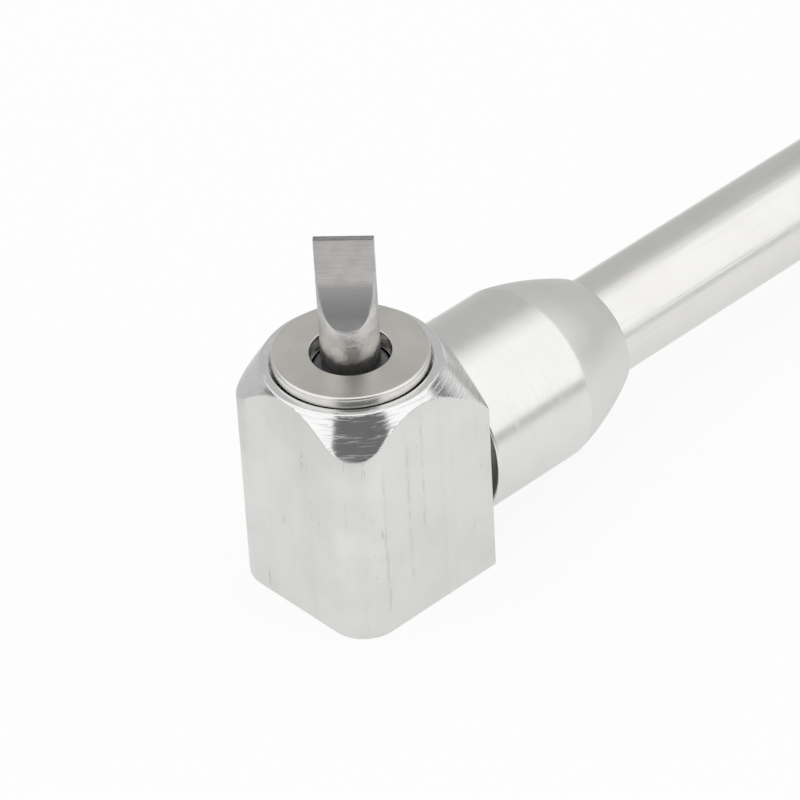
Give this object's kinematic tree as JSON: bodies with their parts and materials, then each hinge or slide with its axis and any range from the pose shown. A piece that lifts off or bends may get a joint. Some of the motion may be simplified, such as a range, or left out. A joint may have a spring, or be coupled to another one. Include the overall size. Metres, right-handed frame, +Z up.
{
  "type": "carburetor adjustment tool",
  "caption": "Right-angle carburetor screwdriver: a knurled knob turns a shaft in a long tube, and mitre gears in a square head turn a flat blade.",
  "frame": {"origin": "on the base of the head block, under the axis of the blade", "axes": "+Z up along the blade, +X along the tube towards the knob, +Y across the head"},
  "size_m": [0.2991, 0.0226, 0.0413],
  "materials": {
    "drawn_aluminium": "bare, fine drawn lines",
    "turned_aluminium": "bare, fine turned lines",
    "ground_steel": "ground, fine cross lines",
    "bright_steel": "polished",
    "dark_steel": "dark oxide",
    "bronze": "sintered bronze, matt"
  },
  "bodies": {
    "head": {"head_housing": "drawn_aluminium", "cap_ring": "turned_aluminium", "bearing_outer_ring": "bright_steel", "bearing_shield_upper": "bright_steel", "bearing_shield_lower": "bright_steel", "lower_bush": "bronze", "collar": "turned_aluminium", "front_shaft_bush": "bronze", "outer_tube": "drawn_aluminium", "rear_shaft_bush": "bronze"},
    "drive": {"drive_shaft": "bright_steel", "drive_gear": "ground_steel", "drive_gear_pin": "dark_steel", "front_thrust_washer": "bright_steel", "rear_thrust_washer": "bright_steel", "knob": "turned_aluminium", "knob_set_screw": "dark_steel"},
    "spindle": {"blade_spindle": "ground_steel", "driven_gear": "ground_steel", "driven_gear_pin": "dark_steel", "spindle_shim": "bright_steel", "spindle_circlip": "dark_steel", "bearing_inner_ring": "bright_steel"},
    "ball_set": {"bearing_cage": "dark_steel", "bearing_ball_1": "bright_steel", "bearing_ball_2": "bright_steel", "bearing_ball_3": "bright_steel", "bearing_ball_4": "bright_steel", "bearing_ball_5": "bright_steel", "bearing_ball_6": "bright_steel", "bearing_ball_7": "bright_steel"}
  },
  "joints": [
    {"name": "drive_spin", "type": "hinge", "parent": "head", "child": "drive", "pos_m": [0, 0, 0.0114], "axis": [1, 0, 0], "continuous": true},
    {"name": "spindle_spin", "type": "hinge", "parent": "head", "child": "spindle", "pos_m": [0, 0, 0], "axis": [0, 0, 1], "continuous": true},
    {"name": "ball_set_spin", "type": "hinge", "parent": "head", "child": "ball_set", "pos_m": [0, 0, 0], "axis": [0, 0, 1], "continuous": true}
  ],
  "couplings": [
    {"joint": "spindle_spin", "follows": "drive_spin", "ratio": -1},
    {"joint": "ball_set_spin", "follows": "drive_spin", "ratio": -0.37619}
  ]
}
